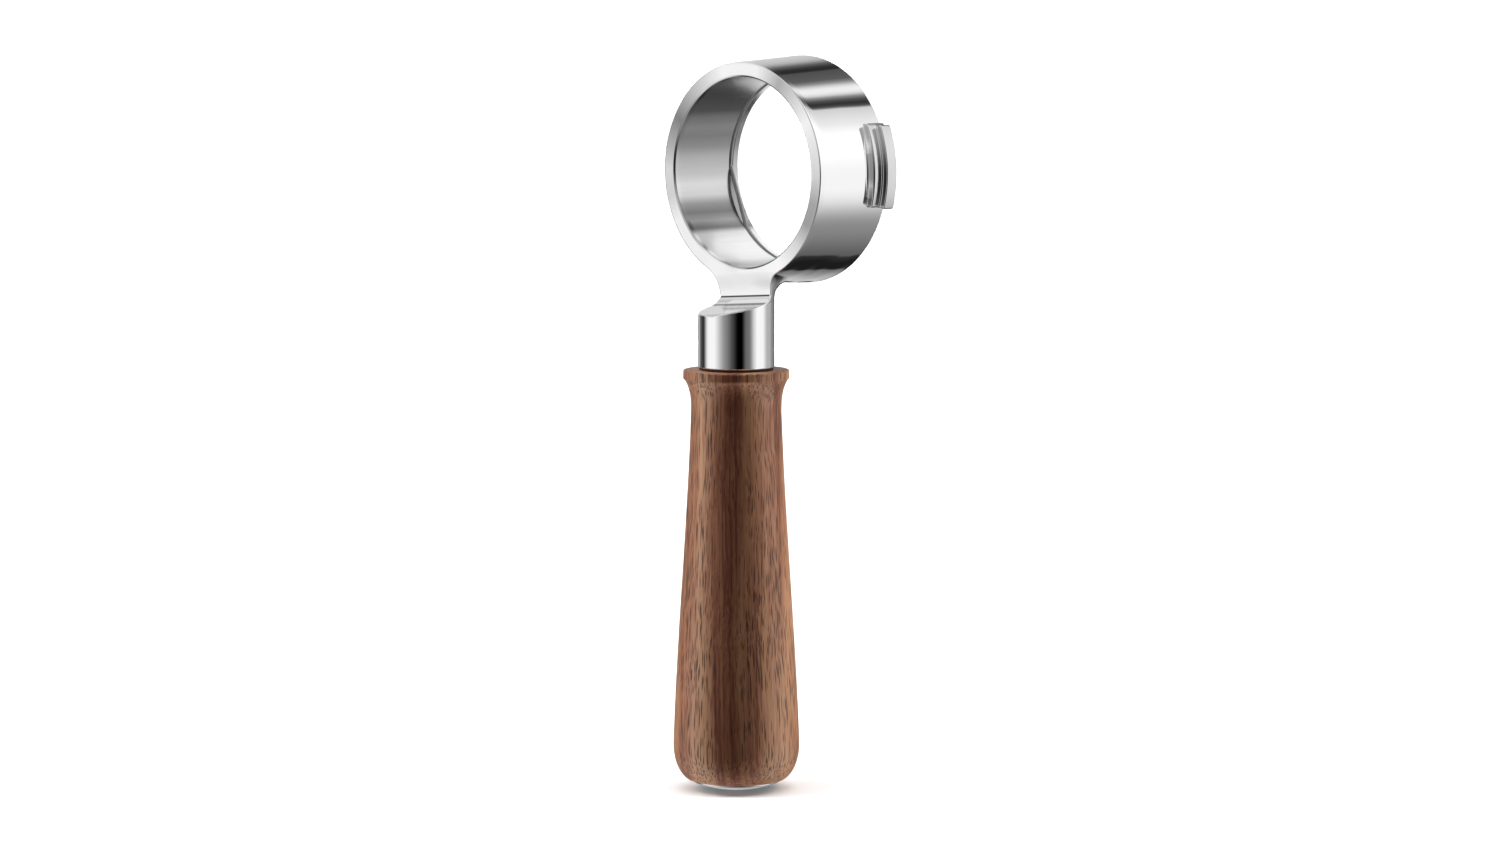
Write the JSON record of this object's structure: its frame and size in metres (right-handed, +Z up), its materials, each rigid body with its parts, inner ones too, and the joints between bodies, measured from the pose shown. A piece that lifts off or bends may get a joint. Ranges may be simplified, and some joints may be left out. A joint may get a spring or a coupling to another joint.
{
  "type": "portafilter",
  "caption": "Bottomless espresso portafilter: open basket ring with bayonet lugs, short scooped neck and turned wooden handle with a domed metal end cap.",
  "frame": {"origin": "centre of the basket mouth, on the rim face that seals to the group head", "axes": "+Y out of the basket mouth towards the group head, X across the two lugs, +Z up along the handle, which hangs below the ring"},
  "size_m": [0.081, 0.0513, 0.2335],
  "materials": {
    "polished_steel": "mirror polished outside, satin turned bore",
    "spring_wire": "drawn wire",
    "zinc_steel": "bright zinc plated thread",
    "black_fibre": "matt",
    "walnut": "oiled satin",
    "brass": "turned",
    "black_rubber": "matt",
    "cap_steel": "polished"
  },
  "bodies": {
    "handle": {"handle_grip": "walnut", "handle_insert": "brass", "butt_insert": "brass", "cap_stud": "zinc_steel", "cap_seal": "black_rubber", "end_cap": "cap_steel"},
    "boss_washer": {"boss_washer": "black_fibre"},
    "head": {"head": "polished_steel", "handle_stud": "zinc_steel"},
    "basket_spring": {"basket_spring": "spring_wire"}
  },
  "joints": [
    {"name": "head_travel", "type": "slide", "parent": "handle", "child": "boss_washer", "axis": [0, 0, 1], "range_m": [0, 0.021]},
    {"name": "head_turn", "type": "hinge", "parent": "boss_washer", "child": "head", "pos_m": [0, -0.03116, -0.0625], "axis": [0, 0, 1], "range_deg": [0, 4320]},
    {"name": "spring_turn", "type": "hinge", "parent": "head", "child": "basket_spring", "pos_m": [0, -0.00315, 0], "axis": [0, 1, 0], "continuous": true}
  ],
  "couplings": [
    {"joint": "head_travel", "follows": "head_turn", "m_per_rad": 0.00027852}
  ]
}
